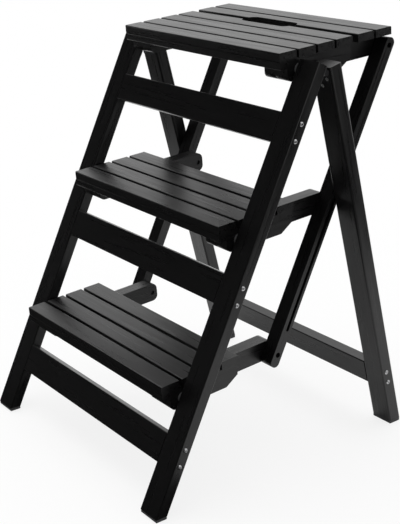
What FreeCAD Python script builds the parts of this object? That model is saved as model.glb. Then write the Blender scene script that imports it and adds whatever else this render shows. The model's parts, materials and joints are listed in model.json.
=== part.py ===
import FreeCAD, Part
import os
import Sketcher

# Folding step stool: three slatted steps between two leaning stiles, a hinged rear frame,
# and two link bars that keep the steps parallel while the stool folds.
# Millimetres, +Z up, +Y to the back. The origin is on the floor, in the middle of the footprint.

Vector = FreeCAD.Vector
X_AXIS = Vector(1, 0, 0)
LEAN_BACK_AXIS = Vector(-1, 0, 0)
STEP_RISE_AXIS = Vector(1, 0, 0)
LEAN_FORWARD_AXIS = Vector(1, 0, 0)

doc = FreeCAD.newDocument("FoldingStepStool")


# Driving dimensions

DRIVING = [
    ("step_height_lower", 182, "top of the lower step above the floor, over its pivot"),
    ("step_height_middle", 395, "top of the middle step above the floor, over its pivot"),
    ("step_height_top", 620, "top of the seat above the floor, over its pivot"),
    ("frame_width", 470, "over the outer faces of the stiles"),
    ("front_lean", 26, "lean of the stiles from upright, degrees"),
    ("rear_lean", 14, "lean of the rear legs from upright, degrees"),
    ("step_rise", 4, "rise of the steps towards the rear, degrees"),
    ("foot_pad_height", 6, "height of the foot pads"),
    ("foot_pad_inset", 1, "how far a pad stands in from its foot all round"),
    ("foot_pad_edge", 1.2, "chamfer round the underside of a pad"),
    ("stile_width", 40, "stile, seen from the front"),
    ("stile_depth", 18, "stile, seen from the side"),
    ("stile_length", 669, "stile along its front face, pad to top"),
    ("leg_width", 40, "rear leg, seen from the front"),
    ("leg_depth", 22, "rear leg, seen from the side"),
    ("leg_above_axis", 6, "rear leg above its hinge axis"),
    ("axis_below_stile_top", 8, "hinge axis below the top of the stile"),
    ("hinge_gap", 5, "hinge axis to the wood on either side"),
    ("board_edge", 1.8, "rounding of the long edges of boards"),
    ("leg_edge", 3, "rounding of the long edges of the rear legs"),
    ("rail_width", 44, "front rail along the stile"),
    ("rail_thickness", 15, "front rail front to back"),
    ("rail_height_lower", 90, "middle of the lower front rail above the floor"),
    ("rail_height_middle", 305, "middle of the middle front rail above the floor"),
    ("rail_height_upper", 519, "middle of the upper front rail above the floor"),
    ("rear_rail_width", 40, "rear rail along the legs"),
    ("rear_rail_thickness", 18, "rear rail front to back"),
    ("rear_rail_height", 86, "middle of the rear rail above the floor"),
    ("side_clearance", 4, "between a step and the inner face of a stile"),
    ("nose", 34, "step in front of its pivot"),
    ("slat_width", 31.5, "slat front to back"),
    ("slat_thickness", 12, "slat top to bottom"),
    ("slat_gap", 4, "between slats"),
    ("seat_middle_gap", 11, "between the fourth and fifth slats of the seat"),
    ("strip_height", 12, "front strip under the first slat"),
    ("strip_depth", 13, "front strip front to back"),
    ("arm_width", 24, "step arm, seen from the front"),
    ("arm_height", 31, "step arm top to bottom"),
    ("arm_front_round", 8, "rounding of the lower front corner of arms and blocks"),
    ("arm_rear_reach", 10, "step arm behind its link pivot, and its end rounding"),
    ("link_reach", 177.5, "step pivot to link pivot"),
    ("link_width", 25, "link bar, seen from the front"),
    ("link_depth", 16.5, "link bar, seen from the side"),
    ("link_below_pivot", 20, "link bar below its lowest pivot"),
    ("link_above_pivot", 12, "link bar above its highest pivot"),
    ("link_arm_gap", 0.5, "between a link bar and the arm beside it"),
    ("block_relief_start", 78, "where the underside of a side block starts to rise, behind the pivot"),
    ("block_relief_height", 13.5, "how far it rises at its rear end"),
    ("groove_width", 5.2, "guide groove in a link bar"),
    ("groove_depth", 8, "guide groove depth"),
    ("groove_low", 38, "bottom of the groove above the lowest link pivot"),
    ("groove_high", 276, "top of the groove above the lowest link pivot"),
    ("groove_offset", 1, "groove behind the middle of the link bar"),
    ("guide_radius", 2.4, "guide pin"),
    ("guide_end_gap", 0.5, "free end of a guide pin to the rear leg, and to the groove floor"),
    ("pin_radius", 4, "step and link pivot pins"),
    ("running_gap", 0.06, "radial clearance where a pin turns"),
    ("seat_gap", 0.03, "radial clearance where a pin is held"),
    ("pin_depth", 22, "step pivot pin inside the stile"),
    ("pin_end_gap", 3, "pin end short of a face that its hole goes through"),
    ("hand_hole_length", 116, "hand hole across the seat"),
    ("hand_hole_width", 31, "hand hole front to back"),
    ("hinge_leaf_width", 34, "hinge along its pin"),
    ("hinge_leaf_length", 32, "hinge leaf below the axis"),
    ("hinge_leaf_thickness", 1.5, "hinge leaf"),
    ("knuckle_radius", 4.6, "hinge knuckle"),
    ("knuckle_gap", 0.25, "between hinge knuckles"),
    ("hinge_pin_radius", 1.8, "hinge pin"),
]

sizes = doc.addObject("Spreadsheet::Sheet", "Sizes")
for row, (alias, number, note) in enumerate(DRIVING, start=1):
    sizes.set("A%d" % row, str(number))
    sizes.set("B%d" % row, note)
    sizes.setAlias("A%d" % row, alias)
doc.recompute()


# Places worked out from the driving dimensions

places = doc.addObject("App::VarSet", "Places")


def place_value(name, expression):
    """Adds a worked-out length to the document and returns how other expressions name it."""
    places.addProperty("App::PropertyFloat", name, "Places", "")
    places.setExpression(name, expression)
    doc.recompute()
    return "Places." + name


LEAN = "(Sizes.front_lean * 1 deg)"
REAR = "(Sizes.rear_lean * 1 deg)"
RISE = "(Sizes.step_rise * 1 deg)"
STEPS = ("lower", "middle", "top")
SLATS = {"lower": 4, "middle": 4, "top": 6}

place_value("half_width", "Sizes.frame_width / 2")
place_value("inner", "Places.half_width - Sizes.stile_width")
place_value("leg_inner", "Places.half_width - Sizes.leg_width")
place_value("step_half", "Places.inner - Sizes.side_clearance")
place_value("link_inner", "Places.step_half - Sizes.link_width")
place_value("arm_outer", "Places.link_inner - Sizes.link_arm_gap")
place_value("arm_inner", "Places.arm_outer - Sizes.arm_width")
place_value("axis_u", "Sizes.stile_length - Sizes.axis_below_stile_top")
place_value("axis_v", "Sizes.stile_depth + Sizes.hinge_gap")
place_value("axis_y", f"Places.axis_v * cos({LEAN}) + Places.axis_u * sin({LEAN})")
place_value("axis_z", f"Sizes.foot_pad_height - Places.axis_v * sin({LEAN}) + Places.axis_u * cos({LEAN})")
place_value("leg_drop", "Places.axis_z - Sizes.foot_pad_height")
place_value("depth", f"Places.axis_y + Places.leg_drop * tan({REAR})"
                     f" + (Sizes.hinge_gap + Sizes.leg_depth) / cos({REAR})")
place_value("shift", "Places.depth / 2")
for step in STEPS:
    place_value(f"pivot_z_{step}", f"Sizes.step_height_{step}"
                                   f" - (Sizes.slat_thickness + Sizes.arm_height / 2) / cos({RISE})")
    place_value(f"pivot_y_{step}", f"(Places.pivot_z_{step} - Sizes.foot_pad_height) * tan({LEAN})"
                                   f" + Sizes.stile_depth / 2 / cos({LEAN}) - Places.shift")
    place_value(f"pivot_u_{step}", f"(Places.pivot_z_{step} - Sizes.foot_pad_height) / cos({LEAN})"
                                   f" + Sizes.stile_depth / 2 * tan({LEAN})")
for rail in ("lower", "middle", "upper"):
    place_value(f"rail_u_{rail}", f"(Sizes.rail_height_{rail} - Sizes.foot_pad_height) / cos({LEAN})")
place_value("rear_rail_u", f"(Sizes.rear_rail_height - Places.axis_z) / cos({REAR})"
                           f" - Sizes.hinge_gap * tan({REAR})")
place_value("link_drop_middle", f"(Sizes.step_height_top - Sizes.step_height_middle) / cos({LEAN})")
place_value("link_drop_lower", f"(Sizes.step_height_top - Sizes.step_height_lower) / cos({LEAN})")
place_value("under_slats", "Sizes.arm_height / 2")
place_value("arm_front", "Sizes.strip_depth - Sizes.nose")
place_value("arm_rear", "Sizes.link_reach + Sizes.arm_rear_reach")
for number in range(1, 7):
    extra = " + Sizes.seat_middle_gap - Sizes.slat_gap" if number > 4 else ""
    place_value(f"slat_front_{number}", f"-Sizes.nose + {number - 1} * (Sizes.slat_width + Sizes.slat_gap)" + extra)
place_value("block_rear", "Places.slat_front_4 + Sizes.slat_width - Sizes.slat_gap")
place_value("hand_hole_middle", "Places.slat_front_5 - Sizes.seat_middle_gap / 2")
place_value("pin_hole_radius", "Sizes.pin_radius + Sizes.running_gap")
place_value("pin_seat_radius", "Sizes.pin_radius + Sizes.seat_gap")
place_value("guide_v", f"Sizes.stile_depth / 2 + Sizes.link_reach * cos({LEAN} + {RISE}) + Sizes.groove_offset")
place_value("leg_middle", "Sizes.hinge_gap + Sizes.leg_depth / 2")
place_value("guide_from_axis", f"(Places.guide_v - Places.axis_v - Places.leg_middle * cos({LEAN} + {REAR}))"
                               f" / sin({LEAN} + {REAR})")
place_value("guide_u", f"Places.axis_u - Places.guide_from_axis * cos({LEAN} + {REAR})"
                       f" + Places.leg_middle * sin({LEAN} + {REAR})")


# Helpers for sketches and features

def value(expression):
    """The number that an expression gives with the present sizes."""
    result = sizes.evalExpression(expression)
    return float(getattr(result, "Value", result))


def plane(body, role):
    return [item for item in body.Origin.OriginFeatures if item.Role == role][0]


def new_body(name):
    body = doc.addObject("PartDesign::Body", name)
    return body


def new_sketch(body, role, name, offset="0"):
    sketch = body.newObject("Sketcher::SketchObject", name)
    sketch.AttachmentSupport = [(plane(body, role), "")]
    sketch.MapMode = "FlatFace"
    if offset != "0":
        sketch.setExpression("AttachmentOffset.Base.z", offset)
    return sketch


def bind(sketch, kind, geometry, point, name, expression):
    """A named dimension from the sketch origin to a point, driven by an expression."""
    index = sketch.addConstraint(Sketcher.Constraint(kind, -1, 1, geometry, point, value(expression)))
    sketch.renameConstraint(index, name)
    sketch.setExpression("Constraints." + name, expression)


def draw_outline(sketch, points):
    """A closed outline of straight lines through points given as pairs of expressions."""
    spots = [Vector(value(x), value(y), 0) for x, y in points]
    first = sketch.GeometryCount
    for index, spot in enumerate(spots):
        sketch.addGeometry(Part.LineSegment(spot, spots[(index + 1) % len(spots)]))
    for index, (x, y) in enumerate(points):
        here = first + index
        after = first + (index + 1) % len(points)
        sketch.addConstraint(Sketcher.Constraint("Coincident", here, 2, after, 1))
        bind(sketch, "DistanceX", here, 1, "across_%d" % here, x)
        bind(sketch, "DistanceY", here, 1, "along_%d" % here, y)


def draw_circle(sketch, across, along, radius):
    spot = Vector(value(across), value(along), 0)
    index = sketch.addGeometry(Part.Circle(spot, Vector(0, 0, 1), value(radius)))
    bind(sketch, "DistanceX", index, 3, "across_%d" % index, across)
    bind(sketch, "DistanceY", index, 3, "along_%d" % index, along)
    where = sketch.addConstraint(Sketcher.Constraint("Radius", index, value(radius)))
    sketch.renameConstraint(where, "radius_%d" % index)
    sketch.setExpression("Constraints.radius_%d" % index, radius)


def draw_slot(sketch, ends, radius):
    """A slot with round ends, between two end centres given as pairs of expressions."""
    (x1, y1), (x2, y2) = ends
    start = Vector(value(x1), value(y1), 0)
    stop = Vector(value(x2), value(y2), 0)
    size = value(radius)
    way = (stop - start).normalize()
    side = Vector(-way.y, way.x, 0) * size
    sketch.addGeometry(Part.LineSegment(start - side, stop - side))
    sketch.addGeometry(Part.Arc(stop - side, stop + way * size, stop + side))
    sketch.addGeometry(Part.LineSegment(stop + side, start + side))
    sketch.addGeometry(Part.Arc(start + side, start - way * size, start - side))
    for here, after in ((0, 1), (1, 2), (2, 3), (3, 0)):
        sketch.addConstraint(Sketcher.Constraint("Tangent", here, 2, after, 1))
    sketch.addConstraint(Sketcher.Constraint("Equal", 1, 3))
    where = sketch.addConstraint(Sketcher.Constraint("Radius", 1, size))
    sketch.renameConstraint(where, "end_radius")
    sketch.setExpression("Constraints.end_radius", radius)
    bind(sketch, "DistanceX", 3, 3, "start_across", x1)
    bind(sketch, "DistanceY", 3, 3, "start_along", y1)
    bind(sketch, "DistanceX", 1, 3, "stop_across", x2)
    bind(sketch, "DistanceY", 1, 3, "stop_along", y2)


def pad(body, sketch, length, both_ways=False):
    feature = body.newObject("PartDesign::Pad", body.Name + "_pad")
    feature.Profile = sketch
    if both_ways:
        feature.SideType = "Symmetric"
    feature.setExpression("Length", length)
    sketch.Visibility = False
    doc.recompute()
    return feature


def pocket(body, sketch, length=None, reverse=False):
    """Cuts a sketch out of the body, to a depth or right through, and checks that it cut."""
    before = body.Shape.Volume
    feature = body.newObject("PartDesign::Pocket", body.Name + "_cut")
    feature.Profile = sketch
    if length is None:
        feature.Type = "ThroughAll"
        feature.SideType = "Symmetric"
    else:
        feature.setExpression("Length", length)
        feature.Reversed = reverse
    sketch.Visibility = False
    doc.recompute()
    if body.Shape.Volume > before - 0.5:
        raise RuntimeError("a cut removed nothing from " + body.Name)
    return feature


def edge_names(shape, wanted):
    return ["Edge%d" % (index + 1) for index, edge in enumerate(shape.Edges) if wanted(edge)]


def straight_along(edge, direction, least=15.0):
    """True for a straight edge in a direction, longer than the given least."""
    if edge.Curve.TypeId != "Part::GeomLine":
        return False
    way = edge.Vertexes[-1].Point - edge.Vertexes[0].Point
    if way.Length < least:
        return False
    return abs(way.normalize().dot(direction)) > 0.999


def round_edges(body, base, wanted, radius, kind="Fillet"):
    feature = body.newObject("PartDesign::" + kind, body.Name + "_edge")
    names = edge_names(base.Shape, wanted)
    if not names:
        raise RuntimeError("no edge to round on " + body.Name)
    feature.Base = (base, names)
    feature.setExpression("Radius" if kind == "Fillet" else "Size", radius)
    doc.recompute()
    return feature


def set_place(item, x="0", y="0", z="0", axis=None, angle=None):
    """Binds where a piece lies, and how far it leans, to expressions."""
    turn = FreeCAD.Rotation()
    if axis is not None:
        turn = FreeCAD.Rotation(axis, value(angle))
    item.Placement = FreeCAD.Placement(Vector(value(x), value(y), value(z)), turn)
    for letter, expression in (("x", x), ("y", y), ("z", z)):
        if expression != "0":
            item.setExpression("Placement.Base." + letter, expression)
    if axis is not None:
        item.setExpression("Placement.Rotation.Angle", angle)


# The four frames that the pieces are drawn in

def in_front_frame(item, x="0"):
    """Second axis back through the stile, third axis up along its front face."""
    set_place(item, x, "-Places.shift", "Sizes.foot_pad_height", LEAN_BACK_AXIS, LEAN)


def in_rear_frame(item, x="0"):
    """From the hinge axis: second axis back through the leg, third axis up along it."""
    set_place(item, x, "Places.axis_y - Places.shift", "Places.axis_z", LEAN_FORWARD_AXIS, REAR)


def in_step(item, step, x="0"):
    """From the step pivot, second axis back along the step and third axis out of its top."""
    set_place(item, x, f"Places.pivot_y_{step}", f"Places.pivot_z_{step}", STEP_RISE_AXIS, RISE)


def in_links(item, x="0"):
    """From the highest link pivot, along the link bar."""
    set_place(item, x, f"Places.pivot_y_top + Sizes.link_reach * cos({RISE})",
              f"Places.pivot_z_top + Sizes.link_reach * sin({RISE})", LEAN_BACK_AXIS, LEAN)


# Pieces that are kept

kept = []


def keep(item, label):
    item.Label = label
    kept.append(item)


def keep_pair(right, label):
    """Keeps the right-hand piece and its mirror image."""
    keep(right, label + "_right")
    left = doc.addObject("Part::Mirroring", label + "_mirror")
    left.Source = right
    left.Normal = X_AXIS
    left.Base = Vector(0, 0, 0)
    keep(left, label + "_left")


def side_board(name, points, width):
    """A board drawn from the side and given its width across."""
    body = new_body(name)
    sketch = new_sketch(body, "YZ_Plane", name + "_side")
    draw_outline(sketch, points)
    return body, pad(body, sketch, width)


def cross_board(name, points, length):
    """A board that runs across the stool, drawn in section and centred."""
    body = new_body(name)
    sketch = new_sketch(body, "YZ_Plane", name + "_section")
    draw_outline(sketch, points)
    return body, pad(body, sketch, length, both_ways=True)


def box_points(low, high):
    (x1, y1), (x2, y2) = low, high
    return [(x1, y1), (x2, y1), (x2, y2), (x1, y2)]


def across_x(edge):
    return straight_along(edge, X_AXIS)


def along_front(edge):
    """The two long front edges of a rail drawn with its front face on the frame's own plane."""
    return across_x(edge) and edge.BoundBox.YMax < value("Sizes.rail_thickness") / 2


def along_top(edge):
    """The two long upper edges of a slat."""
    return across_x(edge) and edge.BoundBox.ZMin > value("Places.under_slats + Sizes.slat_thickness / 2")


def cylinder(name, radius, length, x, y, z, turn_axis=None, turn=0):
    """A round bar from a point, along its third axis unless it is turned."""
    item = doc.addObject("Part::Cylinder", name)
    item.setExpression("Radius", radius)
    item.setExpression("Height", length)
    rotation = FreeCAD.Rotation()
    if turn_axis is not None:
        rotation = FreeCAD.Rotation(turn_axis, turn)
    item.Placement = FreeCAD.Placement(Vector(value(x), value(y), value(z)), rotation)
    for letter, expression in (("x", x), ("y", y), ("z", z)):
        item.setExpression("Placement.Base." + letter, expression)
    return item


def fuse(name, base, tool):
    item = doc.addObject("Part::Fuse", name)
    item.Base = base
    item.Tool = tool
    return item


def group(name, members):
    item = doc.addObject("Part::Compound", name)
    item.Links = members
    return item


def side_name(side):
    return "right" if side > 0 else "left"


# Front frame

def make_stiles():
    rise = f"* tan({LEAN})"
    points = [("0", "0"), ("Sizes.stile_depth", "Sizes.stile_depth " + rise),
              ("Sizes.stile_depth", "Sizes.stile_length"), ("0", "Sizes.stile_length")]
    body, board = side_board("stile", points, "Sizes.stile_width")
    up = Vector(0, 0, 1)
    round_edges(body, board, lambda edge: straight_along(edge, up), "Sizes.board_edge")
    seats = new_sketch(body, "YZ_Plane", "stile_pin_seats")
    for step in STEPS:
        draw_circle(seats, "Sizes.stile_depth / 2", f"Places.pivot_u_{step}", "Places.pin_seat_radius")
    pocket(body, seats, "Sizes.pin_depth + Sizes.seat_gap", reverse=True)
    in_front_frame(body, "Places.inner")
    keep_pair(body, "front_stile")


def make_front_rails():
    for rail in ("lower", "middle", "upper"):
        middle = f"Places.rail_u_{rail}"
        points = box_points(("0", f"{middle} - Sizes.rail_width / 2"),
                            ("Sizes.rail_thickness", f"{middle} + Sizes.rail_width / 2"))
        body, board = cross_board("rail_" + rail, points, "2 * Places.inner")
        round_edges(body, board, along_front, "Sizes.board_edge")
        in_front_frame(body)
        keep(body, "front_rail_" + rail)


def make_step_pins():
    pins = []
    for step in STEPS:
        for side in (-1, 1):
            far = f"{side} * (Places.inner + Sizes.pin_depth)"
            length = "Places.inner + Sizes.pin_depth - Places.arm_inner - Sizes.pin_end_gap"
            pins.append(cylinder(f"step_pin_{step}_{side_name(side)}", "Sizes.pin_radius", length, far,
                                 "Sizes.stile_depth / 2", f"Places.pivot_u_{step}", Vector(0, 1, 0), -90 * side))
    pin_set = group("step_pin_set", pins)
    in_front_frame(pin_set)
    keep(pin_set, "step_pivot_pins")


# Feet

def make_foot_pad(name, front, back, width):
    """A pad under a foot that is cut level with the floor, chamfered round its underside."""
    inset = "Sizes.foot_pad_inset"
    body = new_body(name)
    sketch = new_sketch(body, "XY_Plane", name + "_outline")
    draw_outline(sketch, box_points((inset, f"{front} + {inset}"),
                                    (f"{width} - {inset}", f"{back} - {inset}")))
    block = pad(body, sketch, "Sizes.foot_pad_height")

    def on_floor(edge):
        return edge.BoundBox.ZMax < 0.01

    round_edges(body, block, on_floor, "Sizes.foot_pad_edge", "Chamfer")
    return body


def make_feet():
    front = make_foot_pad("front_pad", "0", f"(Sizes.stile_depth / cos({LEAN}))", "Sizes.stile_width")
    set_place(front, "Places.inner", "-Places.shift")
    keep_pair(front, "front_foot_pad")
    rear_face = f"(Places.depth - Sizes.leg_depth / cos({REAR}))"
    rear = make_foot_pad("rear_pad", rear_face, "Places.depth", "Sizes.leg_width")
    set_place(rear, "Places.leg_inner", "-Places.shift")
    keep_pair(rear, "rear_foot_pad")


# Rear frame

def make_legs():
    near = "Sizes.hinge_gap"
    far = "(Sizes.hinge_gap + Sizes.leg_depth)"
    foot = f"-Places.leg_drop / cos({REAR}) - {{}} * tan({REAR})"
    points = [(near, foot.format(near)), (far, foot.format(far)),
              (far, "Sizes.leg_above_axis"), (near, "Sizes.leg_above_axis")]
    body, board = side_board("leg", points, "Sizes.leg_width")
    up = Vector(0, 0, 1)
    round_edges(body, board, lambda edge: straight_along(edge, up), "Sizes.leg_edge")
    in_rear_frame(body, "Places.leg_inner")
    keep_pair(body, "rear_leg")


def make_rear_rail():
    middle = "Places.rear_rail_u"
    points = box_points(("Sizes.hinge_gap", f"{middle} - Sizes.rear_rail_width / 2"),
                        ("Sizes.hinge_gap + Sizes.rear_rail_thickness", f"{middle} + Sizes.rear_rail_width / 2"))
    body, board = cross_board("rear_board", points, "2 * Places.leg_inner")
    round_edges(body, board, across_x, "Sizes.board_edge")
    in_rear_frame(body)
    keep(body, "rear_rail")


# Hinges between the stiles and the rear legs

def make_leaf(name, face_to_axis, own, thickness_way):
    """A hinge leaf: a plate on the wood, drawn from the pin axis, with every other knuckle."""
    pitch = "Sizes.hinge_leaf_width / 3"
    body = new_body(name)
    plate = new_sketch(body, "YZ_Plane", name + "_plate")
    inner = face_to_axis
    outer = f"{face_to_axis} {thickness_way} Sizes.hinge_leaf_thickness"
    clear = "-(Sizes.knuckle_radius + Sizes.knuckle_gap)"
    draw_outline(plate, box_points((inner, "-Sizes.hinge_leaf_length"), (outer, clear)))
    pad(body, plate, "Sizes.hinge_leaf_width")
    for index in own:
        start = f"{index} * {pitch} + Sizes.knuckle_gap / 2"
        tab = new_sketch(body, "YZ_Plane", f"{name}_tab_{index}", start)
        draw_outline(tab, box_points((inner, clear), (outer, "0")))
        pad(body, tab, f"{pitch} - Sizes.knuckle_gap")
        barrel = new_sketch(body, "YZ_Plane", f"{name}_barrel_{index}", start)
        draw_circle(barrel, "0", "0", "Sizes.knuckle_radius")
        pad(body, barrel, f"{pitch} - Sizes.knuckle_gap")
    bore = new_sketch(body, "YZ_Plane", name + "_bore")
    draw_circle(bore, "0", "0", "Sizes.hinge_pin_radius + Sizes.running_gap")
    pocket(body, bore)
    return body


def make_hinges():
    leaf_x = "Places.half_width - Sizes.stile_width / 2 - Sizes.hinge_leaf_width / 2"
    front = make_leaf("front_leaf", "-Sizes.hinge_gap", (0, 2), "+")
    set_place(front, leaf_x, "Places.axis_y - Places.shift", "Places.axis_z", LEAN_BACK_AXIS, LEAN)
    keep_pair(front, "front_hinge_leaf")
    rear = make_leaf("rear_leaf", "Sizes.hinge_gap", (1,), "-")
    in_rear_frame(rear, leaf_x)
    keep_pair(rear, "rear_hinge_leaf")
    pins = []
    for side in (-1, 1):
        pins.append(cylinder("hinge_pin_" + side_name(side), "Sizes.hinge_pin_radius",
                             "Sizes.hinge_leaf_width",
                             f"{side} * ({leaf_x})", "0", "0", Vector(0, 1, 0), 90 * side))
    pin_set = group("hinge_pin_set", pins)
    in_rear_frame(pin_set)
    keep(pin_set, "hinge_pins")


# Steps

def make_slat(step, number):
    front = f"Places.slat_front_{number}"
    points = box_points((front, "Places.under_slats"),
                        (f"{front} + Sizes.slat_width", "Places.under_slats + Sizes.slat_thickness"))
    name = f"{step}_board_{number}"
    body, board = cross_board(name, points, "2 * Places.step_half")
    round_edges(body, board, along_top, "Sizes.board_edge")
    if step == "top" and number in (4, 5):
        reach = "(Sizes.hand_hole_length / 2 - Sizes.hand_hole_width / 2)"
        opening = new_sketch(body, "XY_Plane", name + "_hand_hole")
        draw_slot(opening, ((f"-{reach}", "Places.hand_hole_middle"), (reach, "Places.hand_hole_middle")),
                  "Sizes.hand_hole_width / 2")
        pocket(body, opening)
    in_step(body, step)
    keep(body, f"{step}_slat_{number}")


def make_strip(step):
    under = "Places.under_slats"
    points = box_points(("-Sizes.nose", f"{under} - Sizes.strip_height"), ("Places.arm_front", under))
    body, board = cross_board(step + "_strip_board", points, "2 * Places.step_half")
    round_edges(body, board, across_x, "Sizes.board_edge")
    in_step(body, step)
    keep(body, step + "_front_strip")


def make_arms(step):
    low = "-Places.under_slats"
    high = "Places.under_slats"
    points = box_points(("Places.arm_front", low), ("Places.arm_rear", high))
    body, board = side_board(step + "_arm_board", points, "Sizes.arm_width")

    def front_corner(edge):
        return across_x(edge) and edge.BoundBox.YMax < 0 and edge.BoundBox.ZMax < 0

    def rear_corners(edge):
        return across_x(edge) and edge.BoundBox.YMin > 0

    nose = round_edges(body, board, front_corner, "Sizes.arm_front_round")
    round_edges(body, nose, rear_corners, "Sizes.arm_rear_reach")
    holes = new_sketch(body, "YZ_Plane", step + "_arm_pin_holes")
    draw_circle(holes, "0", "0", "Places.pin_hole_radius")
    draw_circle(holes, "Sizes.link_reach", "0", "Places.pin_hole_radius")
    pocket(body, holes)
    in_step(body, step, "Places.arm_inner")
    keep_pair(body, step + "_arm")


def make_blocks(step):
    low = "-Places.under_slats"
    high = "Places.under_slats"
    points = [("Places.arm_front", low), ("Sizes.block_relief_start", low),
              ("Places.block_rear", f"{low} + Sizes.block_relief_height"),
              ("Places.block_rear", high), ("Places.arm_front", high)]
    body, board = side_board(step + "_block_board", points, "Places.step_half - Places.arm_outer")

    def front_corner(edge):
        return across_x(edge) and edge.BoundBox.YMax < 0 and edge.BoundBox.ZMax < 0

    round_edges(body, board, front_corner, "Sizes.arm_front_round")
    hole = new_sketch(body, "YZ_Plane", step + "_block_pin_hole")
    draw_circle(hole, "0", "0", "Places.pin_hole_radius")
    pocket(body, hole)
    in_step(body, step, "Places.arm_outer")
    keep_pair(body, step + "_side_block")


# Link bars

def make_link_bars():
    half = "Sizes.link_depth / 2"
    low = "(-Places.link_drop_lower - Sizes.link_below_pivot)"
    points = box_points((f"-{half}", low), (half, "Sizes.link_above_pivot"))
    body, board = side_board("link", points, "Sizes.link_width")
    round_edges(body, board, across_x, "Sizes.link_depth / 2 - 0.05")
    ends = new_sketch(body, "YZ_Plane", "link_end_holes")
    draw_circle(ends, "0", "0", "Places.pin_seat_radius")
    draw_circle(ends, "0", "-Places.link_drop_lower", "Places.pin_seat_radius")
    pocket(body, ends)
    middle = new_sketch(body, "YZ_Plane", "link_middle_hole")
    draw_circle(middle, "0", "-Places.link_drop_middle", "Places.pin_seat_radius")
    pocket(body, middle, "Sizes.link_width - Sizes.groove_depth", reverse=True)
    groove = new_sketch(body, "YZ_Plane", "link_groove", "Sizes.link_width")
    end = "Sizes.groove_width / 2"
    draw_slot(groove, (("Sizes.groove_offset", f"-Places.link_drop_lower + Sizes.groove_low + {end}"),
                       ("Sizes.groove_offset", f"-Places.link_drop_lower + Sizes.groove_high - {end}")), end)
    pocket(body, groove, "Sizes.groove_depth")
    in_links(body, "Places.link_inner")
    keep_pair(body, "link_bar")


def make_link_pins():
    """Pins that end short of the groove floor, so that the guide pins can pass the middle one."""
    pins = []
    for index, drop in enumerate(("0", "-Places.link_drop_middle", "-Places.link_drop_lower")):
        for side in (-1, 1):
            outer = "(Places.step_half - Sizes.groove_depth - Sizes.guide_end_gap)"
            length = f"{outer} - Places.arm_inner - Sizes.pin_end_gap"
            pins.append(cylinder(f"link_pin_{index}_{side_name(side)}", "Sizes.pin_radius", length,
                                 f"{side} * {outer}", "0", drop, Vector(0, 1, 0), -90 * side))
    pin_set = group("link_pin_set", pins)
    in_links(pin_set)
    keep(pin_set, "link_pivot_pins")


def make_guide_pins():
    """Pins that slide in the grooves of the link bars, beside the rear legs."""
    floor = "Places.step_half - Sizes.groove_depth + Sizes.guide_end_gap"
    length = f"Places.leg_inner - Sizes.guide_end_gap - ({floor})"
    pin = cylinder("guide_pin", "Sizes.guide_radius", length, floor, "0", "0", Vector(0, 1, 0), 90)
    holder = doc.addObject("Part::Compound", "guide_pin_holder")
    holder.Links = [pin]
    set_place(holder, "0", f"Places.guide_v * cos({LEAN}) + Places.guide_u * sin({LEAN}) - Places.shift",
              f"Sizes.foot_pad_height - Places.guide_v * sin({LEAN}) + Places.guide_u * cos({LEAN})")
    keep_pair(holder, "guide_pin")


# Build

make_stiles()
make_front_rails()
make_step_pins()
make_feet()
make_legs()
make_rear_rail()
make_hinges()
for step in STEPS:
    for number in range(1, SLATS[step] + 1):
        make_slat(step, number)
    make_strip(step)
    make_arms(step)
    make_blocks(step)
make_link_bars()
make_link_pins()
make_guide_pins()
doc.recompute()

for item in doc.Objects:
    if "Invalid" in item.State or "Error" in item.State:
        raise RuntimeError("failed: " + item.Name)

os.makedirs("parts", exist_ok=True)
for item in kept:
    if item.Shape.isNull() or not item.Shape.isValid():
        raise RuntimeError("bad shape: " + item.Label)
    item.Shape.exportStep(os.path.join("parts", item.Label + ".step"))
print(len(kept), "pieces written")
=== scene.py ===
"""Finish and studio for a folding step stool in black satin paint.

The wooden pieces come from the frame and are painted here. Screws, washers and other small
fasteners are made here. Lengths are in metres.
"""

import json
import math

import bmesh
import bpy
from bpy.props import FloatProperty, FloatVectorProperty, PointerProperty
from mathutils import Matrix, Vector


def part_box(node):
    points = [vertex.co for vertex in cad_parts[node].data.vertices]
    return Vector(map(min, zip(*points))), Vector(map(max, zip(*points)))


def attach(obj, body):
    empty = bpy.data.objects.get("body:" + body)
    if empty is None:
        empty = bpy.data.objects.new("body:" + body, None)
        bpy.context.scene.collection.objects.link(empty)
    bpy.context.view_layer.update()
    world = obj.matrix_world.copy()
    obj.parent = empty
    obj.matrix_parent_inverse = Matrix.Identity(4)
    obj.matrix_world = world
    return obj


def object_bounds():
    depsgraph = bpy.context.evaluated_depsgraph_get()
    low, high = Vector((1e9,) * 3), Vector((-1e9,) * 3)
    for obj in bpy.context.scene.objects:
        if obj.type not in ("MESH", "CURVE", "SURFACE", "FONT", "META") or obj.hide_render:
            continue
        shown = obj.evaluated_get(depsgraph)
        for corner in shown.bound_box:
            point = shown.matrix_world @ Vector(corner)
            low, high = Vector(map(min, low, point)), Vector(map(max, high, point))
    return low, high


bl_info = {
    "name": "Folding Step Stool Finish",
    "version": (1, 0, 0),
    "blender": (4, 5, 0),
    "location": "View3D > Sidebar > Step Stool",
    "description": "Paints a folding step stool, adds its small fasteners and sets up a studio",
    "category": "Object",
}

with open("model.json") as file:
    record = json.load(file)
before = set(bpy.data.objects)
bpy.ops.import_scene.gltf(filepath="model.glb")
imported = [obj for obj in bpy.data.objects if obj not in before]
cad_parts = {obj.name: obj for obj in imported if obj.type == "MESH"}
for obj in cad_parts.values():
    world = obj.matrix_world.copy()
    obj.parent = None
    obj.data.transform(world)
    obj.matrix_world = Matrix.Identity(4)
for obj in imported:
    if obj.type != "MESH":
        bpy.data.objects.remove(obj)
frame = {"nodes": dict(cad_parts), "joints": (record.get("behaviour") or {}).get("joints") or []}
CAD_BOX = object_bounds()

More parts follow.
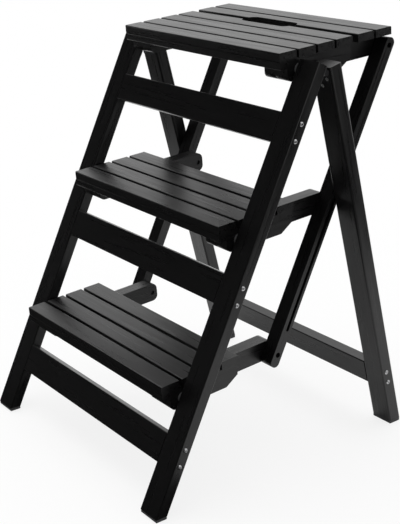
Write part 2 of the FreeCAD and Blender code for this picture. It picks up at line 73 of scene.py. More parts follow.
STEPS = ("lower", "middle", "top")
SIDES = ("left", "right")
DOWN = Vector((0, 0, -1))
BACK = Vector((0, 1, 0))
SAME_WAY = 0.85     # a face looks a given way when the cosine between them is above this
FRONT_RAILS = ("front_rail_lower", "front_rail_middle", "front_rail_upper")


# Pieces and places read from the frame

def nodes_with(*words):
    return [name for name in frame["nodes"] if any(word in name for word in words)]


def box_centre(node):
    low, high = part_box(node)
    return (low + high) / 2


def broad_face(node, way):
    """A point on the broadest face of a piece that looks a given way, and how that face looks."""
    mesh = frame["nodes"][node].data
    facing = [face for face in mesh.polygons if face.normal.dot(way) > SAME_WAY]
    face = max(facing, key=lambda item: item.area)
    return face.center.copy(), face.normal.copy()


def onto_face(spot, point, normal, way):
    """Moves a place along one direction until it lies in a face."""
    return spot + way * ((point - spot).dot(normal) / way.dot(normal))


def board_direction(node):
    """The way a leaning board runs, pointing up."""
    _, normal = broad_face(node, -BACK)
    return Vector((0, normal.z, -normal.y)).normalized()


def lean_of(node):
    """Angle of a leaning board about the X axis, from upright."""
    way = board_direction(node)
    return math.atan2(way.y, way.z)


def joint_place(name):
    return Vector(next(joint["pos_m"] for joint in frame["joints"] if joint["name"] == name))


HALF_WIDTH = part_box("front_stile_right")[1].x


# Sizes and colours

class StoolPaint(bpy.types.PropertyGroup):
    """Paint on the wood"""
    paint: FloatVectorProperty(
        name="Paint", description="Black of the painted wood", subtype="COLOR",
        size=3, min=0, max=1, default=(0.0024, 0.0023, 0.0025))
    paint_thin: FloatVectorProperty(
        name="Thin paint", description="Paint where the grain shows through", subtype="COLOR",
        size=3, min=0, max=1, default=(0.006, 0.0058, 0.006))
    roughness_low: FloatProperty(
        name="Smooth paint", description="Roughness where the paint has levelled out",
        default=0.25, min=0, max=1)
    roughness_high: FloatProperty(
        name="Dry paint", description="Roughness along the raised grain",
        default=0.38, min=0, max=1)
    pores_along: FloatProperty(
        name="Pores along", description="Pores per metre along the grain", default=30.0, min=0)
    pores_across: FloatProperty(
        name="Pores across", description="Pores per metre across the grain", default=700.0, min=0)
    figure_along: FloatProperty(
        name="Figure along", description="Broad streaks per metre along the grain", default=9.0, min=0)
    figure_across: FloatProperty(
        name="Figure across", description="Broad streaks per metre across the grain",
        default=230.0, min=0)
    grain_depth: FloatProperty(
        name="Grain depth", description="Height of the grain under the paint",
        default=0.00012, unit="LENGTH", precision=5)
    edge_round: FloatProperty(
        name="Edge rounding", description="Easing of the sawn ends and square edges",
        default=0.0008, unit="LENGTH", precision=4)


class StoolFeet(bpy.types.PropertyGroup):
    """Rubber of the foot pads"""
    rubber: FloatVectorProperty(
        name="Rubber", description="Moulded rubber", subtype="COLOR",
        size=3, min=0, max=1, default=(0.035, 0.035, 0.037))
    rubber_dust: FloatVectorProperty(
        name="Dusty rubber", description="Rubber where dust sticks to it", subtype="COLOR",
        size=3, min=0, max=1, default=(0.06, 0.06, 0.062))
    dust_scale: FloatProperty(
        name="Dust scale", description="Patches of dust per metre", default=60.0, min=0)
    pebble_scale: FloatProperty(
        name="Pebble scale", description="Pebbles of the skin per metre", default=1400.0, min=0)
    pebble_depth: FloatProperty(
        name="Pebble depth", description="Height of the pebbles of the skin",
        default=0.0002, unit="LENGTH", precision=5)


class StoolFasteners(bpy.types.PropertyGroup):
    """Screws, washers and the steel of hinges and pins"""
    rail_head_radius: FloatProperty(
        name="Rail screw head", description="Radius of a screw head on the side of the frame",
        default=0.0036, unit="LENGTH", precision=4)
    rail_head_height: FloatProperty(
        name="Rail screw height", description="Height of its dome above the wood",
        default=0.0014, unit="LENGTH", precision=4)
    rail_pitch: FloatProperty(
        name="Front screw spacing", description="Between the two screws of a front rail",
        default=0.025, unit="LENGTH", precision=4)
    rear_pitch: FloatProperty(
        name="Rear screw spacing", description="Between the two screws of the rear rail",
        default=0.019, unit="LENGTH", precision=4)
    slat_head_radius: FloatProperty(
        name="Slat screw head", description="Radius of a screw head under a step",
        default=0.0032, unit="LENGTH", precision=4)
    slat_screw_inset: FloatProperty(
        name="Slat screw inset", description="From the ends of a step arm to a screw, at least",
        default=0.014, unit="LENGTH", precision=4)
    slat_head_height: FloatProperty(
        name="Slat screw height", description="Height of its dome above the wood",
        default=0.0009, unit="LENGTH", precision=4)
    head_sink: FloatProperty(
        name="Head sink", description="How far the heads in wood are let in",
        default=0.0006, unit="LENGTH", precision=4)
    hinge_screw_pitch: FloatProperty(
        name="Hinge screw spacing", description="Between the screws of a hinge leaf, across and down",
        default=0.0112, unit="LENGTH", precision=4)
    hinge_head_radius: FloatProperty(
        name="Hinge screw head", description="Radius of a hinge screw head",
        default=0.0027, unit="LENGTH", precision=4)
    hinge_head_height: FloatProperty(
        name="Hinge screw height", description="Height of its dome above the leaf",
        default=0.0008, unit="LENGTH", precision=4)
    hinge_head_sink: FloatProperty(
        name="Hinge screw sink", description="How far its head is let into the leaf",
        default=0.0003, unit="LENGTH", precision=4)
    washer_radius: FloatProperty(
        name="Washer radius", description="Washer between a step and a stile",
        default=0.009, unit="LENGTH", precision=4)
    washer_bore: FloatProperty(
        name="Washer bore", description="Radius of the hole in that washer",
        default=0.0042, unit="LENGTH", precision=4)
    washer_edge: FloatProperty(
        name="Washer edge", description="Chamfer around the rim of that washer",
        default=0.0005, unit="LENGTH", precision=4)
    washer_play: FloatProperty(
        name="Washer play", description="Room left between the step, the washer and the stile",
        default=0.0006, unit="LENGTH", precision=4)
    washer_shift: FloatProperty(
        name="Washer shift", description="How far the washer sits off the middle, towards the stile",
        default=0.0002, unit="LENGTH", precision=4)
    steel: FloatVectorProperty(
        name="Zinc plate", description="Plated screws", subtype="COLOR",
        size=3, min=0, max=1, default=(0.62, 0.62, 0.63))
    # Painted shade: the hinges and pins are coloured near-black, far darker than the plated screws, to
    # stand in for the shade they sit in between the boards and in their holes.
    shade_darkened_steel: FloatVectorProperty(
        name="Dark steel", description="Blackened hinges and pins", subtype="COLOR",
        size=3, min=0, max=1, default=(0.06, 0.06, 0.062))
    steel_smooth: FloatProperty(
        name="Zinc smooth", description="Least roughness of the screws", default=0.2, min=0, max=1)
    steel_rough: FloatProperty(
        name="Zinc rough", description="Most roughness of the screws", default=0.42, min=0, max=1)
    dark_smooth: FloatProperty(
        name="Dark smooth", description="Least roughness of the hinges", default=0.3, min=0, max=1)
    dark_rough: FloatProperty(
        name="Dark rough", description="Most roughness of the hinges", default=0.5, min=0, max=1)
    scratch_scale: FloatProperty(
        name="Scratch scale", description="Scratches in steel per metre", default=900.0, min=0)
    scratch_shade: FloatProperty(
        name="Scratch shade", description="Brightness of a scratch beside the bare steel",
        default=0.7, min=0, max=1)


class StoolStudio(bpy.types.PropertyGroup):
    """Floor, light and camera"""
    floor_size: FloatProperty(
        name="Floor size", description="Side of the floor", default=28.0, unit="LENGTH")
    floor: FloatVectorProperty(
        name="Floor", description="Colour of the floor", subtype="COLOR",
        size=3, min=0, max=1, default=(0.95, 0.95, 0.95))
    floor_glow: FloatProperty(
        name="Floor white", description="Share of plain white that the camera sees in the floor",
        default=0.82, min=0, max=1)
    # The black cards are painted dark reflections: they show only in gloss, and the camera, diffuse
    # light and shadows pass them by.
    card_width: FloatProperty(
        name="Dark card", description="Side of each black card", default=9.0, unit="LENGTH")
    card_reach: FloatProperty(
        name="Card reach", description="How far the front card reaches in under the stool",
        default=0.1, unit="LENGTH")
    side_gap: FloatProperty(
        name="Side gap", description="From the stool to the black card at its right",
        default=0.6, unit="LENGTH")
    card_lift: FloatProperty(
        name="Card lift", description="From the floor to the black cards", default=0.001, unit="LENGTH")
    # Painted reflection: the black that gloss shows from the cards.
    card: FloatVectorProperty(
        name="Card", description="Colour of the black cards", subtype="COLOR",
        size=3, min=0, max=1, default=(0.03, 0.03, 0.03))
    eye: FloatVectorProperty(
        name="Camera place", description="Where the camera stands", subtype="TRANSLATION",
        size=3, default=(1.34984, -0.97670, 0.87437))
    yaw: FloatProperty(
        name="Camera turn", description="Camera heading to the left of straight ahead",
        default=math.radians(53.75), subtype="ANGLE")
    pitch: FloatProperty(
        name="Camera pitch", description="Camera elevation",
        default=math.radians(-20.1), subtype="ANGLE")
    roll: FloatProperty(
        name="Camera roll", description="Camera roll", default=math.radians(-1.34), subtype="ANGLE")
    focal: FloatProperty(
        name="Focal length", description="For a 36 mm long side", default=76.66, unit="CAMERA")
    shift_x: FloatProperty(name="Shift across", description="Framing of the photograph", default=0.0038)
    shift_y: FloatProperty(name="Shift up", description="Framing of the photograph", default=0.0017)
    fill: FloatProperty(
        name="Fill", description="Strength of the even light from all round", default=0.62, min=0)
    room_front: FloatProperty(
        name="Room in front", description="Brightness that gloss shows from in front of the stool",
        default=0.03, min=0)
    room_back: FloatProperty(
        name="Room behind", description="Brightness that gloss shows from behind the stool",
        default=1.0, min=0)
    room_dark_until: FloatProperty(
        name="Room dark until", description="How far back the dark part of the room reaches, -1 to 1",
        default=-0.2, min=-1, max=1)
    room_bright_from: FloatProperty(
        name="Room bright from", description="Where the bright part of the room begins, -1 to 1",
        default=0.3, min=-1, max=1)
    top_light: FloatProperty(
        name="Top light", description="Strength of the soft light from above", default=1.45, min=0)
    top_way: FloatVectorProperty(
        name="Top light from", description="Where the top light comes from", subtype="DIRECTION",
        size=3, default=(-0.25, 0.15, 1.0))
    softness: FloatProperty(
        name="Softness", description="Angle over which the top light is spread",
        default=math.radians(60), subtype="ANGLE")


# Materials

def add_node(tree, kind, x, y, **settings):
    """A shader node at a place in the node editor, with its settings."""
    made = tree.nodes.new(kind)
    made.location = (x, y)
    for name, setting in settings.items():
        setattr(made, name, setting)
    return made


def new_material(name):
    material = bpy.data.materials.new(name)
    material.use_nodes = True
    tree = material.node_tree
    shader = tree.nodes["Principled BSDF"]
    shader.location = (500, 0)
    tree.nodes["Material Output"].location = (800, 0)
    return material, tree, shader


def drawn_noise(tree, place, along, cells_along, cells_across, detail, y):
    """Noise drawn out along one axis, with so many cells per metre along it and across it."""
    stretch = add_node(tree, "ShaderNodeMapping", -900, y)
    stretch.inputs["Scale"].default_value = [
        cells_along if axis == along else cells_across for axis in "XYZ"]
    noise = add_node(tree, "ShaderNodeTexNoise", -650, y)
    noise.inputs["Scale"].default_value = 1.0
    noise.inputs["Detail"].default_value = detail
    tree.links.new(place, stretch.inputs["Vector"])
    tree.links.new(stretch.outputs["Vector"], noise.inputs["Vector"])
    return noise.outputs["Fac"]


def painted_wood(name, lean, along):
    """Satin black paint over fine open grain. The grain runs along X, or up a leaning board."""
    paint = bpy.context.scene.stool_paint
    material, tree, shader = new_material(name)
    place = add_node(tree, "ShaderNodeTexCoord", -1300, 0)
    turned = add_node(tree, "ShaderNodeMapping", -1100, 0)
    turned.inputs["Rotation"].default_value = (lean, 0, 0)
    board = turned.outputs["Vector"]
    grain = drawn_noise(tree, board, along, paint.pores_along, paint.pores_across, 4.0, 0)
    figure = drawn_noise(tree, board, along, paint.figure_along, paint.figure_across, 3.0, -350)
    tone = add_node(tree, "ShaderNodeMix", 0, 300, data_type="RGBA")
    tone.inputs["A"].default_value = (*paint.paint, 1)
    tone.inputs["B"].default_value = (*paint.paint_thin, 1)
    shine = add_node(tree, "ShaderNodeMapRange", 0, 50)
    shine.inputs["From Min"].default_value = 0.3
    shine.inputs["From Max"].default_value = 0.7
    shine.inputs["To Min"].default_value = paint.roughness_low
    shine.inputs["To Max"].default_value = paint.roughness_high
    pores = add_node(tree, "ShaderNodeMath", -350, 100, operation="MULTIPLY")
    height = add_node(tree, "ShaderNodeMath", -150, -250, operation="ADD")
    bump = add_node(tree, "ShaderNodeBump", 250, -250)
    bump.inputs["Strength"].default_value = 0.45
    bump.inputs["Distance"].default_value = paint.grain_depth
    link = tree.links.new
    link(place.outputs["Object"], turned.inputs["Vector"])
    link(grain, pores.inputs[0])
    link(figure, pores.inputs[1])
    link(pores.outputs["Value"], tone.inputs["Factor"])
    link(figure, shine.inputs["Value"])
    link(grain, height.inputs[0])
    link(figure, height.inputs[1])
    link(height.outputs["Value"], bump.inputs["Height"])
    link(tone.outputs["Result"], shader.inputs["Base Color"])
    link(shine.outputs["Result"], shader.inputs["Roughness"])
    link(bump.outputs["Normal"], shader.inputs["Normal"])
    return material


def brushed_steel(name, colour, smooth, rough):
    """Steel, slightly brushed and dulled by handling."""
    sizes = bpy.context.scene.stool_fasteners
    material, tree, shader = new_material(name)
    shader.inputs["Metallic"].default_value = 1.0
    place = add_node(tree, "ShaderNodeTexCoord", -900, 0)
    scratches = add_node(tree, "ShaderNodeTexNoise", -650, 0)
    scratches.inputs["Scale"].default_value = sizes.scratch_scale
    scratches.inputs["Detail"].default_value = 4.0
    tone = add_node(tree, "ShaderNodeMix", -100, 200, data_type="RGBA")
    tone.inputs["A"].default_value = (*(Vector(colour) * sizes.scratch_shade), 1)
    tone.inputs["B"].default_value = (*colour, 1)
    dull = add_node(tree, "ShaderNodeMapRange", -100, -100)
    dull.inputs["To Min"].default_value = smooth
    dull.inputs["To Max"].default_value = rough
    link = tree.links.new
    link(place.outputs["Object"], scratches.inputs["Vector"])
    link(scratches.outputs["Fac"], tone.inputs["Factor"])
    link(scratches.outputs["Fac"], dull.inputs["Value"])
    link(tone.outputs["Result"], shader.inputs["Base Color"])
    link(dull.outputs["Result"], shader.inputs["Roughness"])
    return material


def foot_rubber(name):
    """Dark grey moulded rubber with a fine pebbled skin."""
    feet = bpy.context.scene.stool_feet
    material, tree, shader = new_material(name)
    place = add_node(tree, "ShaderNodeTexCoord", -900, 0)
    pebble = add_node(tree, "ShaderNodeTexVoronoi", -650, 0)
    pebble.inputs["Scale"].default_value = feet.pebble_scale
    dust = add_node(tree, "ShaderNodeTexNoise", -650, 250)
    dust.inputs["Scale"].default_value = feet.dust_scale
    tone = add_node(tree, "ShaderNodeMix", -100, 200, data_type="RGBA")
    tone.inputs["A"].default_value = (*feet.rubber, 1)
    tone.inputs["B"].default_value = (*feet.rubber_dust, 1)
    bump = add_node(tree, "ShaderNodeBump", 100, -200)
    bump.inputs["Strength"].default_value = 0.4
    bump.inputs["Distance"].default_value = feet.pebble_depth
    shader.inputs["Roughness"].default_value = 0.7
    link = tree.links.new
    link(place.outputs["Object"], pebble.inputs["Vector"])
    link(place.outputs["Object"], dust.inputs["Vector"])
    link(dust.outputs["Fac"], tone.inputs["Factor"])
    link(pebble.outputs["Distance"], bump.inputs["Height"])
    link(tone.outputs["Result"], shader.inputs["Base Color"])
    link(bump.outputs["Normal"], shader.inputs["Normal"])
    return material


WELD_REACH = 0.00001
SAWN_EDGE = math.radians(40)    # a wooden edge that turns by more than this is eased


def give(names, material):
    for name in names:
        mesh = frame["nodes"][name].data
        mesh.materials.clear()
        mesh.materials.append(material)


def ease_edges(names, width):
    """Rounds the square edges that are left on sawn ends and cut-outs."""
    for name in names:
        piece = frame["nodes"][name]
        weld = piece.modifiers.new("Join facets", "WELD")
        weld.merge_threshold = WELD_REACH
        bevel = piece.modifiers.new("Eased edges", "BEVEL")
        bevel.width = width
        bevel.segments = 2
        bevel.limit_method = "ANGLE"
        bevel.angle_limit = SAWN_EDGE
        bevel.use_clamp_overlap = True


class STOOL_OT_paint_wood(bpy.types.Operator):
    """Paint the boards, with the grain along each of them"""
    bl_idname = "stool.paint_wood"
    bl_label = "Paint Wood"

    def execute(self, context):
        paint = context.scene.stool_paint
        crosswise = nodes_with("slat", "strip", "rail")
        stiles = nodes_with("front_stile", "link_bar")
        legs = nodes_with("rear_leg")
        arms = nodes_with("arm", "side_block")
        give(crosswise, painted_wood("painted_cross_boards", 0, "X"))
        give(stiles, painted_wood("painted_stiles", lean_of("front_stile_right"), "Z"))
        give(legs, painted_wood("painted_rear_legs", lean_of("rear_leg_right"), "Z"))
        give(arms, painted_wood("painted_step_arms", 0, "Y"))
        ease_edges([*crosswise, *stiles, *legs, *arms], paint.edge_round)
        return {"FINISHED"}


class STOOL_OT_finish_metal(bpy.types.Operator):
    """Make the plated steel, and give the hinges and pins a near-black steel that is painted shade"""
    bl_idname = "stool.finish_metal"
    bl_label = "Finish Metal"

    def execute(self, context):
        sizes = context.scene.stool_fasteners
        brushed_steel("zinc_plate", sizes.steel, sizes.steel_smooth, sizes.steel_rough)
        # Painted shade: the near-black steel stands in for the shade on the hinges and pins.
        dark = brushed_steel("shade_darkened_steel", sizes.shade_darkened_steel, sizes.dark_smooth, sizes.dark_rough)
        give(nodes_with("hinge", "pivot_pins", "guide_pin"), dark)
        return {"FINISHED"}


class STOOL_OT_finish_feet(bpy.types.Operator):
    """Give the foot pads their rubber"""
    bl_idname = "stool.finish_feet"
    bl_label = "Finish Feet"

    def execute(self, context):
        give(nodes_with("foot_pad"), foot_rubber("foot_rubber"))
        return {"FINISHED"}


# Fasteners

CREASE = math.radians(35)       # an edge of a fastener that turns by more than this stays sharp


def add_piece(shape, name, material, body):
    """Makes a finished piece from a bmesh and lets it ride on a body."""
    mesh = bpy.data.meshes.new(name)
    bmesh.ops.recalc_face_normals(shape, faces=shape.faces)
    shape.to_mesh(mesh)
    shape.free()
    mesh.materials.append(material)
    piece = bpy.data.objects.new(name, mesh)
    bpy.context.scene.collection.objects.link(piece)
    for face in mesh.polygons:
        face.use_smooth = True
    mesh.set_sharp_from_angle(angle=CREASE)
    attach(piece, body)


HEAD_SIDES = 16
DOME = ((1.0, 0.0), (0.93, 0.42), (0.74, 0.76), (0.48, 0.95))   # shares of its radius and height
SLOT_WIDTH = 0.3        # half the width of a recess, as a share of its reach
SLOT_WALL = 0.04        # how far its walls slope inwards, likewise
SLOT_DEPTH = 0.9        # as a share of the height of the head


def screw_head(radius, height, sink):
    """A domed head with a cross recess, looking along its own third axis from the origin."""
    shape = bmesh.new()
    bmesh.ops.create_circle(shape, cap_ends=False, radius=radius, segments=HEAD_SIDES,
                            matrix=Matrix.Translation((0, 0, -sink)))
    top = shape.edges[:]
    bmesh.ops.contextual_create(shape, geom=top)
    last = 1.0
    for share, rise in DOME:
        grown = bmesh.ops.extrude_edge_only(shape, edges=top)["geom"]
        verts = [item for item in grown if isinstance(item, bmesh.types.BMVert)]
        top = [item for item in grown if isinstance(item, bmesh.types.BMEdge)
               and all(vert in verts for vert in item.verts)]
        for vert in verts:
            vert.co.z = height * rise
        bmesh.ops.scale(shape, vec=(share / last, share / last, 1), verts=verts)
        last = share
    cap = bmesh.ops.contextual_create(shape, geom=top)["faces"]
    cut_cross(shape, cap, radius * last, height)
    return shape


def cut_cross(shape, cap, reach, height):
    """Sinks a four-sided cross into the flat cap of a screw head."""
    width = reach * SLOT_WIDTH
    faces = cap
    for way in (Vector((1, 0, 0)), Vector((0, 1, 0))):
        for offset in (width, -width):
            edges = dict.fromkeys(edge for face in faces for edge in face.edges)
            verts = dict.fromkeys(vert for face in faces for vert in face.verts)
            cut = bmesh.ops.bisect_plane(shape, geom=[*faces, *edges, *verts], dist=1e-7,
                                         plane_co=way * offset, plane_no=way)
            faces = [item for item in cut["geom"] if isinstance(item, bmesh.types.BMFace)]
    slots = []
    for face in faces:
        middle = face.calc_center_median()
        if min(abs(middle.x), abs(middle.y)) < width:
            slots.append(face)
    bmesh.ops.inset_region(shape, faces=slots, thickness=reach * SLOT_WALL, depth=0,
                           use_even_offset=True)
    verts = list(dict.fromkeys(vert for face in slots for vert in face.verts))
    bmesh.ops.translate(shape, vec=(0, 0, -height * SLOT_DEPTH), verts=verts)


def place_heads(name, spots, size, material, body):
    """One mesh of screw heads, each given by a place, the way it looks and a turn.

    The size of a head is its radius, its height and how far it is let in.
    """
    whole = bmesh.new()
    for spot, way, turn in spots:
        head = screw_head(*size)
        rotation = way.to_track_quat("Z", "Y").to_matrix().to_4x4()
        matrix = Matrix.Translation(spot) @ rotation @ Matrix.Rotation(turn, 4, "Z")
        bmesh.ops.transform(head, matrix=matrix, verts=head.verts)
        part = bpy.data.meshes.new("head")
        head.to_mesh(part)
        head.free()
        whole.from_mesh(part)
        bpy.data.meshes.remove(part)
    add_piece(whole, name, material, body)


class STOOL_OT_rail_screws(bpy.types.Operator):
    """Add the screws that hold the front and rear rails, on the outer sides of the frame"""
    bl_idname = "stool.rail_screws"
    bl_label = "Rail Screws"

    # Heads stop at uneven turns
    RAIL_TURN = 1.3
    REAR_TURN = 6.5
    PAIR_TURN = 0.5

    def execute(self, context):
        sizes = context.scene.stool_fasteners
        material = bpy.data.materials["zinc_plate"]
        spots = []
        for index, rail in enumerate(FRONT_RAILS):
            spots += self.pair(rail, "front_stile_right", sizes.rail_pitch, index * self.RAIL_TURN)
        head = (sizes.rail_head_radius, sizes.rail_head_height, sizes.head_sink)
        place_heads("front_rail_screws", spots, head, material, "front_frame")
        spots = self.pair("rear_rail", "rear_leg_right", sizes.rear_pitch, self.REAR_TURN)
        place_heads("rear_rail_screws", spots, head, material, "rear_frame")
        return {"FINISHED"}

    def pair(self, rail, board, pitch, turn):
        """Two screws on each side, one above the other along the board."""
        centre = box_centre(rail)
        up = board_direction(board)
        spots = []
        for side in (-1, 1):
            for sign in (-1, 1):
                spot = centre + up * (sign * pitch / 2)
                spot.x = side * HALF_WIDTH
                spots.append((spot, Vector((side, 0, 0)), turn + sign * self.PAIR_TURN))
        return spots


class STOOL_OT_slat_screws(bpy.types.Operator):
    """Add the screws that hold the slats, in the undersides of the step arms"""
    bl_idname = "stool.slat_screws"
    bl_label = "Slat Screws"

    TURN_PER_METRE = 90

    def execute(self, context):
        sizes = context.scene.stool_fasteners
        material = bpy.data.materials["zinc_plate"]
        head = (sizes.slat_head_radius, sizes.slat_head_height, sizes.head_sink)
        for step in STEPS:
            spots = []
            for side in SIDES:
                arm = f"{step}_arm_{side}"
                low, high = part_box(arm)
                point, normal = broad_face(arm, DOWN)
                for slat in sorted(nodes_with(step + "_slat")):
                    y = max(box_centre(slat).y, low.y + sizes.slat_screw_inset)
                    y = min(y, high.y - sizes.slat_screw_inset)
                    spot = onto_face(Vector((box_centre(arm).x, y, 0)), point, normal, DOWN)
                    spots.append((spot, normal, y * self.TURN_PER_METRE))
            place_heads(step + "_slat_screws", spots, head, material, step + "_step")
        return {"FINISHED"}


class STOOL_OT_hinge_screws(bpy.types.Operator):
    """Add the screws of the hinge leaves on the stiles and the rear legs"""
    bl_idname = "stool.hinge_screws"
    bl_label = "Hinge Screws"

    # Two screws near the pin and one below them, in screw spacings across and down
    PATTERN = ((-1, 1), (1, 1), (0, 2))
    TURN = 0.6

    def execute(self, context):
        sizes = context.scene.stool_fasteners
        material = bpy.data.materials["zinc_plate"]
        head = (sizes.hinge_head_radius, sizes.hinge_head_height, sizes.hinge_head_sink)
        axis = joint_place("rear_frame_fold")
        leaves = (
            ("front_stile", "front_hinge_leaf", "front_frame", BACK),
            ("rear_leg", "rear_hinge_leaf", "rear_frame", -BACK),
        )
        for board, leaf, body, facing in leaves:
            down = -board_direction(board + "_right")
            spots = []
            for side in SIDES:
                node_name = f"{leaf}_{side}"
                point, normal = broad_face(node_name, facing)
                middle = box_centre(node_name).x
                for across, along in self.PATTERN:
                    spot = axis + down * (along * sizes.hinge_screw_pitch)
                    spot.x = middle + across * sizes.hinge_screw_pitch
                    spots.append((onto_face(spot, point, normal, normal), normal, across + self.TURN))
            place_heads(board + "_hinge_screws", spots, head, material, body)
        return {"FINISHED"}


class STOOL_OT_washers(bpy.types.Operator):
    """Add the washers between the steps and the stiles"""
    bl_idname = "stool.washers"
    bl_label = "Step Washers"

    STEPS_ROUND = 32

    def execute(self, context):
        sizes = context.scene.stool_fasteners
        whole = bmesh.new()
        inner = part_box("front_stile_right")[0].x
        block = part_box("top_side_block_right")[1].x
        for step in STEPS:
            centre = joint_place(step + "_step_fold")
            for side in (-1, 1):
                ring = self.washer(sizes, inner - block - sizes.washer_play)
                middle = Vector((side * ((inner + block) / 2 + sizes.washer_shift), centre.y, centre.z))
                bmesh.ops.transform(ring, matrix=Matrix.Translation(middle), verts=ring.verts)
                part = bpy.data.meshes.new("washer")
                ring.to_mesh(part)
                ring.free()
                whole.from_mesh(part)
                bpy.data.meshes.remove(part)
        add_piece(whole, "step_washers", bpy.data.materials["foot_rubber"], "front_frame")
        return {"FINISHED"}

    def washer(self, sizes, thickness):
        """A flat ring spun about the X axis, with a chamfered rim."""
        shape = bmesh.new()
        half = thickness / 2
        rim = sizes.washer_radius
        shoulder = rim - sizes.washer_edge
        flat = half - sizes.washer_edge
        corners = (
            (-half, sizes.washer_bore), (half, sizes.washer_bore),
            (half, shoulder), (flat, rim), (-flat, rim), (-half, shoulder),
        )
        verts = [shape.verts.new((x, 0, r)) for x, r in corners]
        section = shape.faces.new(verts)
        bmesh.ops.spin(shape, geom=[section], cent=(0, 0, 0), axis=(1, 0, 0), angle=math.tau,
                       steps=self.STEPS_ROUND, use_merge=True)
        inside = [face for face in shape.faces if len(face.verts) > 4]
        bmesh.ops.delete(shape, geom=inside, context="FACES_ONLY")
        bmesh.ops.remove_doubles(shape, verts=shape.verts, dist=1e-6)
        return shape


# Studio

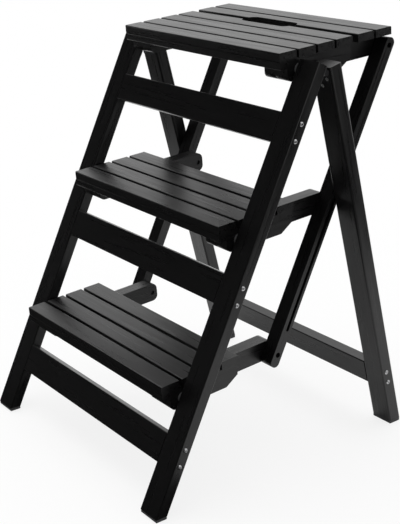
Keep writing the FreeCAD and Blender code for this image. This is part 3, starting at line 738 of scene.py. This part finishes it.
class STOOL_OT_studio(bpy.types.Operator):
    """Set up the floor, the soft light, the pale surroundings and the camera"""
    bl_idname = "stool.studio"
    bl_label = "Studio"

    def execute(self, context):
        studio = context.scene.stool_studio
        self.floor(studio)
        self.painted_dark_reflection(studio)
        self.surroundings(studio)
        self.lamp(studio)
        self.camera(studio)
        context.scene.view_settings.view_transform = "Standard"
        return {"FINISHED"}

    def floor(self, studio):
        shape = bmesh.new()
        bmesh.ops.create_grid(shape, x_segments=1, y_segments=1, size=studio.floor_size / 2)
        mesh = bpy.data.meshes.new("studio_floor")
        shape.to_mesh(mesh)
        shape.free()
        ground = bpy.data.objects.new("studio_floor", mesh)
        bpy.context.scene.collection.objects.link(ground)
        material, tree, shader = new_material("studio_floor")
        shader.inputs["Base Color"].default_value = (*studio.floor, 1)
        shader.inputs["Roughness"].default_value = 0.9
        shader.inputs["Specular IOR Level"].default_value = 0.1
        white = add_node(tree, "ShaderNodeEmission", 500, -400)
        white.inputs["Color"].default_value = (1, 1, 1, 1)
        rays = add_node(tree, "ShaderNodeLightPath", 100, -500)
        share = add_node(tree, "ShaderNodeMath", 300, -500, operation="MULTIPLY")
        share.inputs[1].default_value = studio.floor_glow
        blend = add_node(tree, "ShaderNodeMixShader", 700, -200)
        link = tree.links.new
        link(rays.outputs["Is Camera Ray"], share.inputs[0])
        link(share.outputs["Value"], blend.inputs["Fac"])
        link(shader.outputs["BSDF"], blend.inputs[1])
        link(white.outputs["Emission"], blend.inputs[2])
        link(blend.outputs["Shader"], tree.nodes["Material Output"].inputs["Surface"])
        mesh.materials.append(material)

    def painted_dark_reflection(self, studio):
        """Black cards on the floor in front and at the right, painted dark reflections which only show
        in gloss.
        """
        shape = bmesh.new()
        low, high = CAD_BOX
        half = studio.card_width / 2
        near = low.y + studio.card_reach
        for middle in ((0, near - half), (high.x + studio.side_gap + half, near + half)):
            place = Matrix.Translation((*middle, low.z + studio.card_lift))
            bmesh.ops.create_grid(shape, x_segments=1, y_segments=1, size=half, matrix=place)
        mesh = bpy.data.meshes.new("painted_dark_reflection")
        shape.to_mesh(mesh)
        shape.free()
        card = bpy.data.objects.new("painted_dark_reflection", mesh)
        bpy.context.scene.collection.objects.link(card)
        # Painted reflection: hidden from the camera, from diffuse light and from shadows, the cards
        # only darken what gloss shows.
        card.visible_camera = False
        card.visible_diffuse = False
        card.visible_shadow = False
        material, _, shader = new_material("painted_dark_reflection")
        shader.inputs["Base Color"].default_value = (*studio.card, 1)
        shader.inputs["Roughness"].default_value = 1
        shader.inputs["Specular IOR Level"].default_value = 0
        mesh.materials.append(material)

    def surroundings(self, studio):
        """White behind the stool, as seen and in reflections, and a dark room in front of it."""
        world = bpy.data.worlds.new("studio")
        bpy.context.scene.world = world
        world.use_nodes = True
        tree = world.node_tree
        background = tree.nodes["Background"]
        background.inputs["Color"].default_value = (1, 1, 1, 1)
        place = add_node(tree, "ShaderNodeTexCoord", -900, 0)
        split = add_node(tree, "ShaderNodeSeparateXYZ", -700, 0)
        behind = add_node(tree, "ShaderNodeMapRange", -500, 0, interpolation_type="SMOOTHSTEP")
        behind.inputs["From Min"].default_value = studio.room_dark_until
        behind.inputs["From Max"].default_value = studio.room_bright_from
        behind.inputs["To Min"].default_value = studio.room_front
        behind.inputs["To Max"].default_value = studio.room_back
        rays = add_node(tree, "ShaderNodeLightPath", -700, -300)
        mirrored = add_node(tree, "ShaderNodeMath", -500, -400, operation="MAXIMUM")
        lit = add_node(tree, "ShaderNodeMix", -250, -200)
        lit.inputs["A"].default_value = studio.fill
        seen = add_node(tree, "ShaderNodeMix", -50, -100)
        seen.inputs["B"].default_value = 1
        link = tree.links.new
        link(place.outputs["Generated"], split.inputs["Vector"])
        link(split.outputs["Y"], behind.inputs["Value"])
        link(rays.outputs["Is Glossy Ray"], mirrored.inputs[0])
        link(rays.outputs["Is Transmission Ray"], mirrored.inputs[1])
        link(mirrored.outputs["Value"], lit.inputs["Factor"])
        link(behind.outputs["Result"], lit.inputs["B"])
        link(rays.outputs["Is Camera Ray"], seen.inputs["Factor"])
        link(lit.outputs["Result"], seen.inputs["A"])
        link(seen.outputs["Result"], background.inputs["Strength"])

    def lamp(self, studio):
        """A broad soft light from above, so wide that its shadows fade out."""
        light = bpy.data.lights.new("top_light", "SUN")
        light.energy = studio.top_light
        light.angle = studio.softness
        lamp = bpy.data.objects.new("top_light", light)
        bpy.context.scene.collection.objects.link(lamp)
        lamp.rotation_euler = Vector(studio.top_way).to_track_quat("Z", "Y").to_euler()

    def camera(self, studio):
        data = bpy.data.cameras.new("photo_camera")
        data.sensor_width = 36
        data.lens = studio.focal
        data.shift_x = studio.shift_x
        data.shift_y = studio.shift_y
        data.clip_end = 50
        camera = bpy.data.objects.new("photo_camera", data)
        bpy.context.scene.collection.objects.link(camera)
        heading = Matrix.Rotation(studio.yaw, 4, "Z")
        tilt = Matrix.Rotation(math.pi / 2 + studio.pitch, 4, "X")
        roll = Matrix.Rotation(studio.roll, 4, "Z")
        camera.matrix_world = Matrix.Translation(studio.eye) @ heading @ tilt @ roll
        bpy.context.scene.camera = camera


class STOOL_PT_panel(bpy.types.Panel):
    """Sizes and looks of the stool, and the steps that make it"""
    bl_label = "Step Stool"
    bl_space_type = "VIEW_3D"
    bl_region_type = "UI"
    bl_category = "Step Stool"

    def draw(self, context):
        layout = self.layout
        scene = context.scene
        for group_name, group in GROUPS:
            box = layout.box()
            for name in group.__annotations__:
                box.prop(getattr(scene, group_name), name)
        for operator in OPERATORS:
            layout.operator(operator.bl_idname)


GROUPS = (
    ("stool_paint", StoolPaint),
    ("stool_feet", StoolFeet),
    ("stool_fasteners", StoolFasteners),
    ("stool_studio", StoolStudio),
)
OPERATORS = (
    STOOL_OT_paint_wood,
    STOOL_OT_finish_metal,
    STOOL_OT_finish_feet,
    STOOL_OT_rail_screws,
    STOOL_OT_slat_screws,
    STOOL_OT_hinge_screws,
    STOOL_OT_washers,
    STOOL_OT_studio,
)


def register():
    for name, group in GROUPS:
        bpy.utils.register_class(group)
        setattr(bpy.types.Scene, name, PointerProperty(type=group))
    for operator in OPERATORS:
        bpy.utils.register_class(operator)
    bpy.utils.register_class(STOOL_PT_panel)


def unregister():
    bpy.utils.unregister_class(STOOL_PT_panel)
    for operator in reversed(OPERATORS):
        bpy.utils.unregister_class(operator)
    for name, group in reversed(GROUPS):
        delattr(bpy.types.Scene, name)
        bpy.utils.unregister_class(group)


def main():
    register()
    bpy.ops.stool.paint_wood()
    bpy.ops.stool.finish_metal()
    bpy.ops.stool.finish_feet()
    bpy.ops.stool.rail_screws()
    bpy.ops.stool.slat_screws()
    bpy.ops.stool.hinge_screws()
    bpy.ops.stool.washers()
    bpy.ops.stool.studio()


if __name__ == "__main__":
    main()
